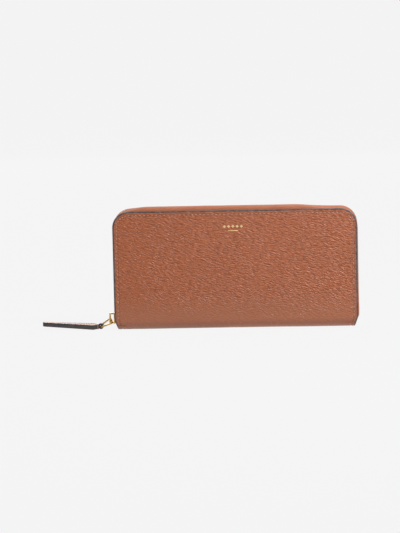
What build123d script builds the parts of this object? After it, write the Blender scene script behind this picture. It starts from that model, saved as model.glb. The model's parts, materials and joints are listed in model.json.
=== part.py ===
from build123d import *
import os
from math import atan2, cos, degrees, hypot, radians, sin

# Long zip-around wallet, standing closed on its spine. Millimetres.
# +X runs along its length, +Y from the front cover to the back one, +Z up.
# The origin is the middle of the flat of the spine, where the wallet rests.

# ---- driving dimensions -----------------------------------------------------------------------
COVER_LENGTH = 195.0
COVER_HEIGHT = 95.5
THICKNESS = 23.0
CORNER_RADIUS = 13.0        # upper corners of both covers
FOLD_RADIUS = 8.0           # outside of the leather where spine turns into cover
FOOT_TAPER = 2.5            # how much each end of the spine narrows towards the ground

LEATHER = 1.0
BOARD = 0.6
LINING = 0.8
POCKET_SHEET = 0.4          # one ply of a card pocket
EDGE_PAINT = 0.5            # painted bead round a cover's cut edge
THREAD = 0.2                # how far a stitch stands proud

TAPE = 0.5
TAPE_SINK = 0.45            # how far the underside of the tape lies inside a cover's edge
TAPE_SEAM = 6.0             # width of tape sewn between leather and lining
CHAIN_HALF = 2.2            # from the middle of the chain to the back of a tooth
TOOTH_HEIGHT = 1.8
TOOTH_PITCH = 2.4
TOOTH_WIDTH = 1.5
CHAIN_GAP = 0.1             # half the gap between the two rows

HALF = THICKNESS / 2
HALF_LENGTH = COVER_LENGTH / 2
BOARD_DEPTH = HALF - LEATHER
LINING_DEPTH = BOARD_DEPTH - BOARD
SHEET_DEPTH = LINING_DEPTH - LINING
TAPE_MIDDLE = TAPE / 2 - TAPE_SINK      # middle of tape and chain, outwards from a cover's edge

FRONT, BACK = -1, 1
LEFT, RIGHT = -1, 1

os.makedirs("parts", exist_ok=True)


def save(piece, name):
    """Labels a finished piece and writes its STEP file."""
    piece.part.label = name
    export_step(piece.part, f"parts/{name}.step")


def upright(y):
    """Upright plane at depth y, facing the front: sketch x is X and sketch y is Z."""
    return Plane.XZ.offset(-y)


def cover_outline(inset, foot):
    """A cover's outline, inset from its edge and cut off level at height foot."""
    top = COVER_HEIGHT - inset
    with BuildSketch(mode=Mode.PRIVATE) as outline:
        with Locations((0, (foot + top) / 2)):
            Rectangle(COVER_LENGTH - 2 * inset, top - foot)
        fillet(outline.vertices().group_by(Axis.Y)[-1], CORNER_RADIUS - inset)
    return outline.sketch


def slab(side, near, far, outer, inner=None):
    """Plate between two depths from the middle plane, in a given outline, or a rim round another one."""
    low, high = sorted((side * near, side * far))
    with BuildPart() as plate:
        with BuildSketch(upright(high)):
            add(outer)
            if inner is not None:
                add(inner, mode=Mode.SUBTRACT)
        extrude(amount=high - low)
    return plate


def rim_stations(inset, pitch, foot):
    """Places (x, z, angle) spaced evenly along a cover's edge, from one foot over the top to the other."""
    straight = COVER_HEIGHT - CORNER_RADIUS - foot
    radius = CORNER_RADIUS - inset
    reach = HALF_LENGTH - CORNER_RADIUS
    corner = radius * radians(90)
    length = 2 * straight + 2 * corner + 2 * reach
    count = int(length / pitch)
    stations = []
    for index in range(count):
        s = (index + 0.5) * length / count
        mirror = 1 if s <= length / 2 else -1
        s = min(s, length - s)
        if s <= straight:
            x, z, angle = HALF_LENGTH - inset, foot + s, 90.0
        elif s <= straight + corner:
            turn = (s - straight) / radius
            x = reach + radius * cos(turn)
            z = COVER_HEIGHT - CORNER_RADIUS + radius * sin(turn)
            angle = 90.0 + degrees(turn)
        else:
            x, z, angle = reach - (s - straight - corner), COVER_HEIGHT - inset, 180.0
        stations.append((mirror * x, z, mirror * angle))
    return stations


# ---- covers: leather, painted edge, board and lining --------------------------------------------
BOARD_INSET = 9.0
BOARD_FOOT = 12.0
LINING_INSET = 1.0

for side, cover in ((FRONT, "front"), (BACK, "back")):
    leather = slab(side, BOARD_DEPTH, HALF, cover_outline(EDGE_PAINT, FOLD_RADIUS))
    save(leather, f"{cover}_leather")

    edge_paint = slab(
        side, BOARD_DEPTH, HALF, cover_outline(0, FOLD_RADIUS), cover_outline(EDGE_PAINT, 0)
    )
    save(edge_paint, f"{cover}_edge_paint")

    board = slab(side, LINING_DEPTH, BOARD_DEPTH, cover_outline(BOARD_INSET, BOARD_FOOT))
    save(board, f"{cover}_board")

    lining = slab(side, SHEET_DEPTH, LINING_DEPTH, cover_outline(LINING_INSET, FOLD_RADIUS))
    save(lining, f"{cover}_lining")

# ---- stitching round each cover ---------------------------------------------------------------------
STITCH_INSET = 3.2
STITCH_PITCH = 3.2
STITCH_LENGTH = 2.3
STITCH_WIDTH = 0.5

for side, cover in ((FRONT, "front"), (BACK, "back")):
    with BuildPart() as stitching:
        with BuildSketch(upright(max(side * HALF, side * (HALF + THREAD)))):
            for x, z, angle in rim_stations(STITCH_INSET, STITCH_PITCH, FOLD_RADIUS):
                with Locations(Location((x, z), angle)):
                    SlotOverall(STITCH_LENGTH, STITCH_WIDTH)
        extrude(amount=THREAD)
    save(stitching, f"{cover}_stitching")

# ---- foil mark: a row of lozenges over a fine line ---------------------------------------------------
MARK_CENTRE = (-1.2, 82.5)
MARK_PITCH = 3.4
MARK_LOZENGE = 2.6
MARK_LINE = (8.0, 0.6)
MARK_DROP = 3.4
FOIL = 0.1

with BuildPart() as foil_mark:
    with BuildSketch(upright(-HALF)):
        with Locations(MARK_CENTRE):
            with GridLocations(MARK_PITCH, 1, 5, 1):
                Rectangle(MARK_LOZENGE / 2 ** 0.5, MARK_LOZENGE / 2 ** 0.5, rotation=45)
        with Locations((MARK_CENTRE[0], MARK_CENTRE[1] - MARK_DROP)):
            Rectangle(*MARK_LINE)
    extrude(amount=FOIL)
save(foil_mark, "foil_mark")

# ---- spine: leather channel, reinforcement and lining ------------------------------------------------
SPINE_FLAT = THICKNESS - 2 * FOLD_RADIUS
REINFORCEMENT_MARGIN = 4.0


def fold_profile(inset):
    """Section of the spine's outside, inset, up to where the covers begin."""
    with BuildSketch(mode=Mode.PRIVATE) as profile:
        with Locations((0, FOLD_RADIUS)):
            Rectangle(THICKNESS - 2 * inset, 2 * (FOLD_RADIUS - inset))
        fillet(profile.vertices().group_by(Axis.Y)[0], FOLD_RADIUS - inset - 0.001)
        with Locations((0, 2 * FOLD_RADIUS)):
            Rectangle(2 * THICKNESS, 2 * FOLD_RADIUS, mode=Mode.SUBTRACT)
    return profile.sketch


def spine_channel(outer, inner, length):
    """Channel of the spine between two insets, with its ends tapered towards the ground."""
    with BuildPart() as channel:
        with BuildSketch(Plane.YZ.offset(-length / 2)):
            add(fold_profile(outer))
            add(fold_profile(inner), mode=Mode.SUBTRACT)
        extrude(amount=length)
        with BuildSketch(Plane.XZ):
            for end in (LEFT, RIGHT):
                with BuildLine():
                    Polyline(
                        (end * length / 2, FOLD_RADIUS),
                        (end * (length / 2 - FOOT_TAPER), 0),
                        (end * length, 0),
                        (end * length, FOLD_RADIUS),
                        close=True,
                    )
                make_face()
        extrude(amount=THICKNESS, both=True, mode=Mode.SUBTRACT)
    return channel


spine_leather = spine_channel(0, LEATHER, COVER_LENGTH)
save(spine_leather, "spine_leather")

spine_lining = spine_channel(
    LEATHER + BOARD, LEATHER + BOARD + LINING, COVER_LENGTH - 2 * LINING_INSET
)
save(spine_lining, "spine_lining")

with BuildPart() as spine_reinforcement:
    with BuildSketch(Plane.XY.offset(LEATHER)):
        Rectangle(COVER_LENGTH - 2 * FOOT_TAPER - 2 * REINFORCEMENT_MARGIN, SPINE_FLAT - 1)
    extrude(amount=BOARD)
save(spine_reinforcement, "spine_reinforcement")

# ---- zip tapes: one U-shaped strip sewn into each cover, bent across the gap to the chain ------------
TAPE_EDGE = 1.0             # from the middle plane to the tape's woven edge
TAPE_OUTSIDE = BOARD_DEPTH - 0.05
TAPE_INSIDE = TAPE_OUTSIDE - TAPE
BACK_TAPE_FOOT = FOLD_RADIUS + 0.5
FRONT_TAPE_FOOT = 14.0      # above the parked slider, so that the cover can open
TAIL_FOOT = 2.5
TAIL_WIDTH = 4.0

for side, cover, foot in ((FRONT, "front", FRONT_TAPE_FOOT), (BACK, "back", BACK_TAPE_FOOT)):
    with BuildPart() as tape:
        strips = ((TAPE_EDGE, TAPE_OUTSIDE, TAPE_SINK), (TAPE_INSIDE, TAPE_OUTSIDE, TAPE_SEAM))
        for near, far, inset in strips:
            low, high = sorted((side * near, side * far))
            with BuildSketch(upright(high)):
                add(cover_outline(TAPE_SINK - TAPE, foot))
                add(cover_outline(inset, 0), mode=Mode.SUBTRACT)
            extrude(amount=high - low)
        if side == BACK:
            with BuildSketch(Plane.XY.offset(TAIL_FOOT)):
                for end in (LEFT, RIGHT):
                    with Locations((end * (HALF_LENGTH + TAPE_MIDDLE), TAPE_EDGE + TAIL_WIDTH / 2)):
                        Rectangle(TAPE, TAIL_WIDTH)
            extrude(amount=foot - TAIL_FOOT)
    save(tape, f"{cover}_zip_tape")

# ---- zip teeth: cast teeth whose two legs are crimped over the woven edges ---------------------------
TEETH_FOOT = 15.0
CRIMP_GAP = 0.04            # lets straight teeth clear the tape round the corners
TOOTH_LEG = (TOOTH_HEIGHT - TAPE) / 2 - CRIMP_GAP


def tooth_bars(bars, stations):
    """Bars (height, rise above the rim line) across the chain at every station."""
    with BuildSketch(mode=Mode.PRIVATE) as row:
        for x, z, angle in stations:
            with Locations(Location((x, z), angle)):
                for height, rise in bars:
                    with Locations((0, rise)):
                        Rectangle(TOOTH_WIDTH, height)
    return row.sketch


rim = rim_stations(-TAPE_MIDDLE, TOOTH_PITCH, TEETH_FOOT)
legs = [(TOOTH_LEG, edge * (TOOTH_HEIGHT - TOOTH_LEG) / 2) for edge in (-1, 1)]
for side, cover in ((FRONT, "front"), (BACK, "back")):
    with BuildPart() as teeth:
        for near, far, bars in ((CHAIN_GAP, TAPE_EDGE, [(TOOTH_HEIGHT, 0)]), (TAPE_EDGE, CHAIN_HALF, legs)):
            low, high = sorted((side * near, side * far))
            with BuildSketch(upright(high)):
                add(tooth_bars(bars, rim))
            extrude(amount=high - low)
    save(teeth, f"{cover}_zip_teeth")

# ---- zip sliders -------------------------------------------------------------------------------------
NOSE_CUT = (1.0, 0.8)       # chamfer at each corner of a slider's nose
TAIL_SHARE = 0.8            # width of a slider's tail, as a share of its full width
WALL_SHARE = 0.09           # thickness of its side walls, as a share of its full width


def slider_body(at, length, width, inside, tape_slot, plate, post):
    """Slider on a plane whose x runs along the chain and whose z points out of the zip."""
    tail = TAIL_SHARE * width
    wall = WALL_SHARE * width
    with BuildPart() as body:
        for low, high in ((-inside / 2 - plate, -inside / 2), (inside / 2, inside / 2 + plate)):
            with BuildSketch(at.offset(low)) as shell:
                with BuildLine():
                    Polyline(
                        (-length / 2, -width / 2 + NOSE_CUT[1]),
                        (-length / 2 + NOSE_CUT[0], -width / 2),
                        (0, -width / 2),
                        (length / 2, -tail / 2),
                        (length / 2, tail / 2),
                        (0, width / 2),
                        (-length / 2 + NOSE_CUT[0], width / 2),
                        (-length / 2, width / 2 - NOSE_CUT[1]),
                        close=True,
                    )
                make_face()
            extrude(amount=high - low)
        for low, high in ((-inside / 2, -tape_slot / 2), (tape_slot / 2, inside / 2)):
            with BuildSketch(at.offset(low)):
                for edge in (-1, 1):
                    with BuildLine():
                        Polyline(
                            (-length / 2 + NOSE_CUT[0], edge * width / 2),
                            (0, edge * width / 2),
                            (length / 2, edge * tail / 2),
                            (length / 2, edge * (tail / 2 - wall)),
                            (0, edge * (width / 2 - wall)),
                            (-length / 2 + NOSE_CUT[0], edge * (width / 2 - wall)),
                            close=True,
                        )
                    make_face()
            extrude(amount=high - low)
        with BuildSketch(at.offset(-inside / 2)):
            with Locations((-length / 2 + post, 0)):
                Rectangle(post * 2, post)
        extrude(amount=inside)
    return body


def slider_bridge(at, foot, span, height, width, metal):
    """Loop that stands on a slider's outer plate and holds the pull."""
    with BuildPart() as bridge:
        with BuildSketch(Plane(origin=at.origin, x_dir=at.x_dir, z_dir=-at.y_dir).offset(-width / 2)):
            with Locations((0, foot + (height + metal) / 2)):
                RectangleRounded(span + 2 * metal, height + metal, metal)
            with Locations((0, foot + metal / 2)):
                Rectangle(span + 2 * metal, metal)
            with Locations((0, foot + height / 2)):
                Rectangle(span, height, mode=Mode.SUBTRACT)
        extrude(amount=width)
    return bridge


# main slider, parked at the foot of the left side; its tail points up, at the closed chain
SLIDER_LENGTH = 8.8
SLIDER_WIDTH = 7.4
SLIDER_INSIDE = 2.0
SLIDER_PLATE = 0.5
SLIDER_SLOT = 1.1           # gap in its side walls for the tape
SLIDER_POST = 1.3
SLIDER_Z = 8.6
BRIDGE_SPAN = 6.6
BRIDGE_HEIGHT = 2.75
BRIDGE_WIDTH = 1.8
BRIDGE_METAL = 0.85

slider_plane = Plane(
    origin=(-HALF_LENGTH - TAPE_MIDDLE, 0, SLIDER_Z), x_dir=(0, 0, 1), z_dir=(-1, 0, 0)
)
slider_top = SLIDER_INSIDE / 2 + SLIDER_PLATE
zip_slider_body = slider_body(
    slider_plane, SLIDER_LENGTH, SLIDER_WIDTH, SLIDER_INSIDE, SLIDER_SLOT, SLIDER_PLATE, SLIDER_POST
)
save(zip_slider_body, "zip_slider_body")

zip_slider_bridge = slider_bridge(
    slider_plane, slider_top, BRIDGE_SPAN, BRIDGE_HEIGHT, BRIDGE_WIDTH, BRIDGE_METAL
)
save(zip_slider_bridge, "zip_slider_bridge")

# ---- stops at both ends of the chain -----------------------------------------------------------------
STOP = 1.6
for end, name in ((LEFT, "zip_end_stop"), (RIGHT, "zip_start_stop")):
    width = CHAIN_HALF + TAPE_EDGE if end == RIGHT else CHAIN_HALF - CHAIN_GAP
    middle = width / 2 - TAPE_EDGE if end == RIGHT else CHAIN_GAP + width / 2
    with BuildPart() as stop:
        with BuildSketch(Plane.XY.offset(TAIL_FOOT - STOP / 2 if end == LEFT else TAIL_FOOT + STOP)):
            with Locations((end * (HALF_LENGTH + TAPE_MIDDLE), middle)):
                Rectangle(TOOTH_HEIGHT, width)
            with Locations((end * (HALF_LENGTH + TAPE_MIDDLE), TAPE_EDGE + CHAIN_HALF / 2)):
                Rectangle(TAPE, CHAIN_HALF, mode=Mode.SUBTRACT)
        extrude(amount=STOP)
    save(stop, name)

# ---- pull: wire link and folded leather strap, lying on the ground beside the wallet -----------------
LINK_WIRE = 1.3
LINK_WIDTH = 6.6
LINK_TWIST = 14.0
LINK_CORNER = 1.6
LINK_PLAY = 0.175           # between the link's wire and the top of the bridge
LINK_BAR_Z = 6.25
EYE_X = -109.4
EYE_RADIUS = 2.2
EYE_HOLE = 1.35
EYE_WIDTH = 4.4
STRAP_END_X = -156.0
STRAP_WIDTH = 11.0
STRAP_THICKNESS = 3.7
STRAP_PAINT = 0.25
NECK_LENGTH = 3.4
SHOULDER = 2.5

bridge_top_x = -HALF_LENGTH - TAPE_MIDDLE - slider_top - BRIDGE_HEIGHT
link_bar = Vector(bridge_top_x + LINK_PLAY + LINK_WIRE / 2, 0, LINK_BAR_Z)
eye_bar = Vector(EYE_X, 0, EYE_RADIUS + 0.05)
link_reach = hypot(link_bar.X - eye_bar.X, link_bar.Z - eye_bar.Z)
link_slope = degrees(atan2(link_bar.Z - eye_bar.Z, link_bar.X - eye_bar.X))

link_plane = Plane(
    origin=(link_bar + eye_bar) / 2,
    x_dir=(cos(radians(link_slope)), 0, sin(radians(link_slope))),
    z_dir=(-sin(radians(link_slope)), 0, cos(radians(link_slope))),
).rotated((LINK_TWIST, 0, 0))
with BuildPart() as pull_link:
    with BuildSketch(link_plane, mode=Mode.PRIVATE) as loop:
        RectangleRounded(link_reach, LINK_WIDTH, LINK_CORNER)
    path = loop.sketch.face().outer_wire()
    with BuildSketch(Plane(origin=path @ 0, z_dir=path % 0)):
        Circle(LINK_WIRE / 2)
    sweep(path=path)
save(pull_link, "pull_link")

strap_start = eye_bar.X - NECK_LENGTH
core = STRAP_WIDTH / 2 - STRAP_PAINT
with BuildPart() as pull_strap:
    with BuildSketch(upright(EYE_WIDTH / 2)):
        with Locations((eye_bar.X, eye_bar.Z)):
            Circle(EYE_RADIUS)
        with Locations((strap_start, STRAP_THICKNESS / 2)):
            Rectangle(2 * NECK_LENGTH, STRAP_THICKNESS)
        with Locations((eye_bar.X, eye_bar.Z)):
            Circle(EYE_HOLE, mode=Mode.SUBTRACT)
    extrude(amount=EYE_WIDTH)
    with BuildSketch(Plane.XY):
        with BuildLine():
            Polyline(
                (strap_start, -EYE_WIDTH / 2),
                (strap_start, EYE_WIDTH / 2),
                (strap_start - SHOULDER, core),
                (STRAP_END_X + STRAP_PAINT, core),
                (STRAP_END_X + STRAP_PAINT, -core),
                (strap_start - SHOULDER, -core),
                close=True,
            )
        make_face()
    extrude(amount=STRAP_THICKNESS)
save(pull_strap, "pull_strap")

with BuildPart() as pull_edge_paint:
    with BuildSketch(Plane.XY):
        with BuildLine():
            Polyline(
                (strap_start - SHOULDER, core),
                (STRAP_END_X + STRAP_PAINT, core),
                (STRAP_END_X + STRAP_PAINT, -core),
                (strap_start - SHOULDER, -core),
            )
            offset(amount=STRAP_PAINT, side=Side.RIGHT, kind=Kind.INTERSECTION)
        make_face()
    extrude(amount=STRAP_THICKNESS)
save(pull_edge_paint, "pull_edge_paint")

KEEPER_LENGTH = 1.4
KEEPER = 0.35
with BuildPart() as pull_keeper:
    with BuildSketch(Plane.YZ.offset(strap_start + 0.1)):
        with Locations((0, STRAP_THICKNESS / 2 + KEEPER / 4)):
            Rectangle(EYE_WIDTH + 2 * KEEPER, STRAP_THICKNESS + KEEPER / 2)
        with Locations((0, STRAP_THICKNESS / 2)):
            Rectangle(EYE_WIDTH, STRAP_THICKNESS, mode=Mode.SUBTRACT)
    extrude(amount=KEEPER_LENGTH)
save(pull_keeper, "pull_keeper")

PULL_STITCH_INSET = 1.7
with BuildPart() as pull_stitching:
    row = strap_start - SHOULDER - STRAP_END_X - 2 * PULL_STITCH_INSET
    with BuildSketch(Plane.XY.offset(STRAP_THICKNESS)):
        with Locations((strap_start - SHOULDER - PULL_STITCH_INSET - row / 2, 0)):
            rows_apart = STRAP_WIDTH - 2 * PULL_STITCH_INSET
            with GridLocations(STITCH_PITCH, rows_apart, int(row / STITCH_PITCH), 2):
                SlotOverall(STITCH_LENGTH, STITCH_WIDTH)
    extrude(amount=THREAD)
save(pull_stitching, "pull_stitching")

# ---- card pockets: a slip panel and four stepped pockets on each lining ------------------------------
SHEET_INSET = 13.5
SHEET_FOOT = 12.0
SLIP_TOP = 84.0
POCKET_TOP = 77.0
POCKET_STEP = 9.0
POCKETS = 4

for side, cover in ((FRONT, "front"), (BACK, "back")):
    for index in range(POCKETS + 1):
        top = SLIP_TOP if index == 0 else POCKET_TOP - POCKET_STEP * (index - 1)
        far = SHEET_DEPTH - index * POCKET_SHEET
        low, high = sorted((side * (far - POCKET_SHEET), side * far))
        with BuildPart() as sheet:
            with BuildSketch(upright(high)):
                with Locations((0, (SHEET_FOOT + top) / 2)):
                    Rectangle(COVER_LENGTH - 2 * SHEET_INSET, top - SHEET_FOOT)
            extrude(amount=high - low)
        save(sheet, f"{cover}_slip_panel" if index == 0 else f"{cover}_card_pocket_{index}")

# ---- coin pocket: a folded bag in the middle with its own zip ----------------------------------------
COIN_HALF_LENGTH = 91.0
COIN_FOOT = 5.0
COIN_TOP = 75.8
COIN_WALL = 0.6
COIN_HOLLOW = 4.2
COIN_SEAM = 4.0             # sewn margin at each end, where the two walls come together
COIN_TAPE = 0.4
COIN_TOOTH = 1.4
COIN_CHAIN_HALF = 1.3
COIN_TAPE_EDGE = 0.7
COIN_PITCH = 1.8
COIN_TOOTH_WIDTH = 1.1
COIN_TEETH = 84
COIN_TEETH_SHIFT = 4.0
COIN_STOP = 1.2
COIN_STOP_X = 84.0
COIN_SLIDER_X = -78.0
COIN_CHAIN_Z = COIN_TOP + COIN_TAPE / 2
COIN_LEG = (COIN_TOOTH - COIN_TAPE) / 2
COIN_LEG_RISE = (COIN_TAPE + COIN_LEG) / 2

coin_half = COIN_HOLLOW / 2 + COIN_WALL
with BuildPart() as coin_pocket_bag:
    with BuildSketch(Plane.YZ.offset(-COIN_HALF_LENGTH)):
        with Locations((0, (COIN_FOOT + COIN_TOP) / 2)):
            Rectangle(2 * coin_half, COIN_TOP - COIN_FOOT)
        with Locations((0, (COIN_FOOT + COIN_WALL + COIN_TOP) / 2)):
            Rectangle(COIN_HOLLOW, COIN_TOP - COIN_FOOT - COIN_WALL, mode=Mode.SUBTRACT)
    extrude(amount=2 * COIN_HALF_LENGTH)
save(coin_pocket_bag, "coin_pocket_bag")

for end, name in ((LEFT, "left"), (RIGHT, "right")):
    with BuildPart() as seam:
        with BuildSketch(Plane.XY.offset(COIN_FOOT + COIN_WALL)):
            with Locations((end * (COIN_HALF_LENGTH - COIN_SEAM / 2), 0)):
                Rectangle(COIN_SEAM, COIN_HOLLOW)
        extrude(amount=COIN_TOP - COIN_FOOT - COIN_WALL)
    save(seam, f"coin_pocket_{name}_seam")

for side, wall in ((FRONT, "front"), (BACK, "back")):
    with BuildPart() as coin_tape:
        with BuildSketch(Plane.XY.offset(COIN_TOP)):
            with Locations((0, side * (coin_half + COIN_TAPE_EDGE) / 2)):
                Rectangle(2 * COIN_HALF_LENGTH, coin_half - COIN_TAPE_EDGE)
        extrude(amount=COIN_TAPE)
    save(coin_tape, f"coin_zip_{wall}_tape")

    with BuildPart() as coin_teeth:
        for near, far, bars in (
            (CHAIN_GAP, COIN_TAPE_EDGE, [(COIN_TOOTH, 0)]),
            (COIN_TAPE_EDGE, COIN_CHAIN_HALF, [(COIN_LEG, COIN_LEG_RISE), (COIN_LEG, -COIN_LEG_RISE)]),
        ):
            low, high = sorted((side * near, side * far))
            with BuildSketch(upright(high)):
                for height, rise in bars:
                    with Locations((COIN_TEETH_SHIFT, COIN_CHAIN_Z + rise)):
                        with GridLocations(COIN_PITCH, 1, COIN_TEETH, 1):
                            Rectangle(COIN_TOOTH_WIDTH, height)
            extrude(amount=high - low)
    save(coin_teeth, f"coin_zip_{wall}_teeth")

for end, name in ((LEFT, "closed"), (RIGHT, "open")):
    with BuildPart() as stop:
        with BuildSketch(Plane.YZ.offset(end * COIN_STOP_X - COIN_STOP / 2)):
            with Locations((0, COIN_CHAIN_Z)):
                Rectangle(2 * COIN_CHAIN_HALF, COIN_TOOTH)
            for side in (FRONT, BACK):
                with Locations((side * (COIN_TAPE_EDGE + COIN_CHAIN_HALF / 2), COIN_CHAIN_Z)):
                    Rectangle(COIN_CHAIN_HALF, COIN_TAPE, mode=Mode.SUBTRACT)
        extrude(amount=COIN_STOP)
    save(stop, f"coin_zip_{name}_stop")

# coin slider, parked at the left end; its tail points right, at the closed chain
coin_slider_plane = Plane(origin=(COIN_SLIDER_X, 0, COIN_CHAIN_Z), x_dir=(1, 0, 0), z_dir=(0, 0, 1))
COIN_SLIDER_LENGTH = 6.6
COIN_SLIDER_WIDTH = 4.0
COIN_INSIDE = 1.6
COIN_PLATE = 0.4
COIN_SLOT = 0.9
COIN_POST = 0.8
COIN_BRIDGE_SPAN = 3.6
COIN_BRIDGE_HEIGHT = 1.2
COIN_BRIDGE_WIDTH = 1.3
COIN_BRIDGE_METAL = 0.5
coin_slider_body = slider_body(
    coin_slider_plane, COIN_SLIDER_LENGTH, COIN_SLIDER_WIDTH, COIN_INSIDE, COIN_SLOT, COIN_PLATE, COIN_POST
)
save(coin_slider_body, "coin_slider_body")

coin_slider_top = COIN_INSIDE / 2 + COIN_PLATE
coin_slider_bridge = slider_bridge(
    coin_slider_plane,
    coin_slider_top,
    COIN_BRIDGE_SPAN,
    COIN_BRIDGE_HEIGHT,
    COIN_BRIDGE_WIDTH,
    COIN_BRIDGE_METAL,
)
save(coin_slider_bridge, "coin_slider_bridge")

# tab that hangs on the coin slider's bridge and lies along the zip
TAB_THICKNESS = 0.8
TAB_WIDTH = 3.4
TAB_LENGTH = 15.0
TAB_WINDOW = (2.6, 1.7)
TAB_RIM = 0.9
TAB_CORNER = 0.8
TAB_HOLE_RADIUS = 0.8
TAB_HOLE_FROM_END = 2.4
TAB_CLEARANCE = 0.15        # under the tab, over the slider's plate
TAB_PLAY = 0.2
tab_z = COIN_CHAIN_Z + coin_slider_top + TAB_CLEARANCE
tab_bar_x = COIN_SLIDER_X + COIN_BRIDGE_SPAN / 2 - TAB_RIM / 2 - TAB_PLAY
with BuildPart() as coin_pull_tab:
    with BuildSketch(Plane.XY.offset(tab_z)):
        with Locations((tab_bar_x - TAB_RIM / 2 + TAB_LENGTH / 2, 0)):
            RectangleRounded(TAB_LENGTH, TAB_WIDTH, TAB_CORNER)
        with Locations((tab_bar_x + TAB_RIM / 2 + TAB_WINDOW[0] / 2, 0)):
            RectangleRounded(*TAB_WINDOW, 0.3, mode=Mode.SUBTRACT)
        with Locations((tab_bar_x - TAB_RIM / 2 + TAB_LENGTH - TAB_HOLE_FROM_END, 0)):
            Circle(TAB_HOLE_RADIUS, mode=Mode.SUBTRACT)
    extrude(amount=TAB_THICKNESS)
save(coin_pull_tab, "coin_pull_tab")

# ---- gussets: a folded strip at each end of each note compartment ------------------------------------
GUSSET = 0.4
GUSSET_TOP = 76.0
GUSSET_FOOT = 10.0
GUSSET_EDGE_X = 90.0
GUSSET_FOLD_X = 85.4

for end, end_name in ((LEFT, "left"), (RIGHT, "right")):
    for side, wall in ((FRONT, "front"), (BACK, "back")):
        inner, outer = side * (coin_half + 0.05), side * (SHEET_DEPTH - 0.05)
        middle = (inner + outer) / 2
        with BuildPart() as gusset:
            with BuildSketch(Plane.XY.offset(GUSSET_FOOT)):
                with BuildLine():
                    Polyline(
                        (end * GUSSET_EDGE_X, inner),
                        (end * GUSSET_FOLD_X, middle),
                        (end * GUSSET_EDGE_X, outer),
                        (end * (GUSSET_EDGE_X - 3 * GUSSET / 2), outer),
                        (end * (GUSSET_FOLD_X - 3 * GUSSET / 2), middle),
                        (end * (GUSSET_EDGE_X - 3 * GUSSET / 2), inner),
                        close=True,
                    )
                make_face()
            extrude(amount=GUSSET_TOP - GUSSET_FOOT)
        save(gusset, f"{end_name}_{wall}_gusset")
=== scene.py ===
"""Looks of the zip-around wallet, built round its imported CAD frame. Metres, +Z up, front cover at -Y."""

import json
import math

import bmesh
import bpy
import numpy as np
from mathutils import Matrix, Vector, noise

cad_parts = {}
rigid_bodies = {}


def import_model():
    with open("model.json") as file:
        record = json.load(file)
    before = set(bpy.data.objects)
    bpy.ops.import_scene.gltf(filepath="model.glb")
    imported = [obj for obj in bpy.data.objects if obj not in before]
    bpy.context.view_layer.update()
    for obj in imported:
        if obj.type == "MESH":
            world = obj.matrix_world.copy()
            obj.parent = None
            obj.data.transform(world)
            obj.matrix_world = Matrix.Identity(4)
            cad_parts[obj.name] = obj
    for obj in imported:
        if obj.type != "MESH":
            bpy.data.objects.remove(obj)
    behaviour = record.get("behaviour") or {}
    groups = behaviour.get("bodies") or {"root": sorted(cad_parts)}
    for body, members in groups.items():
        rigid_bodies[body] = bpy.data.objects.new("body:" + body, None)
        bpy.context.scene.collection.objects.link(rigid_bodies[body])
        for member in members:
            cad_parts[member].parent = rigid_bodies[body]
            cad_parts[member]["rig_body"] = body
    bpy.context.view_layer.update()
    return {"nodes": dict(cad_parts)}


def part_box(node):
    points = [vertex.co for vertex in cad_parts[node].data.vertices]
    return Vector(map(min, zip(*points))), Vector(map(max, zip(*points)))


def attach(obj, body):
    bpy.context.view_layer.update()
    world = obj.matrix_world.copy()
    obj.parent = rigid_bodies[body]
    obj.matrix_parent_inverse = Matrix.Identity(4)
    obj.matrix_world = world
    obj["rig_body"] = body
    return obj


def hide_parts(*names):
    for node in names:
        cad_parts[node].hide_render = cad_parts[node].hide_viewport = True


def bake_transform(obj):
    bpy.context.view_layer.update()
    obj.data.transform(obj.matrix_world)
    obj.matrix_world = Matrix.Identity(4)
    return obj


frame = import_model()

MM = 0.001

# ---- measures, from the frame where it has them ----
rim_low, rim_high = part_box("front_edge_paint")
leather_low, leather_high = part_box("front_leather")
HALF_LENGTH = rim_high.x
TOP = rim_high.z
FOLD_Z = rim_low.z                       # covers begin here, and the fold of the spine lies below
HALF = -leather_low.y                    # half the wallet's thickness
LEATHER = leather_high.y - leather_low.y
CORNER = 13.0 * MM                       # radius of the covers' upper corners
REACH = HALF_LENGTH - CORNER
FOLD_RADIUS = 8.0 * MM
FOLD_Y = HALF - FOLD_RADIUS
FOOT_TAPER = 2.5 * MM                    # how much each end of the spine narrows towards the ground
CHAIN_RISE = -0.2 * MM                   # middle of the zip chain, just inside a cover's edge
CORNER_SINK = (0.8 * MM, 2.0 * MM)       # how much deeper it lies round the upper corners, left and right
FRONT, BACK = -1, 1
LEFT, RIGHT = -1, 1
UV_UNIT = 0.1                            # metres to one unit of the UV map


def smooth(t):
    """Smooth step from 0 to 1."""
    t = min(max(t, 0.0), 1.0)
    return t * t * (3 - 2 * t)


def bell(x, width):
    """Bell curve, 1 at 0 and fading over width."""
    return math.exp(-(x / width) ** 2)


def steps(low, high, pitch):
    """Evenly spaced values from low up to high, at about this pitch."""
    count = max(2, round((high - low) / pitch) + 1)
    return [low + (high - low) * i / (count - 1) for i in range(count)]


# ---- mesh helpers ----
def add_object(name, mesh, material, smooth_angle=40):
    """New object from a mesh, shaded smooth up to an angle."""
    mesh.update()
    ob = bpy.data.objects.new(name, mesh)
    bpy.context.scene.collection.objects.link(ob)
    mesh.materials.append(material)
    mesh.polygons.foreach_set("use_smooth", [True] * len(mesh.polygons))
    mesh.set_sharp_from_angle(angle=math.radians(smooth_angle))
    return ob


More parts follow.
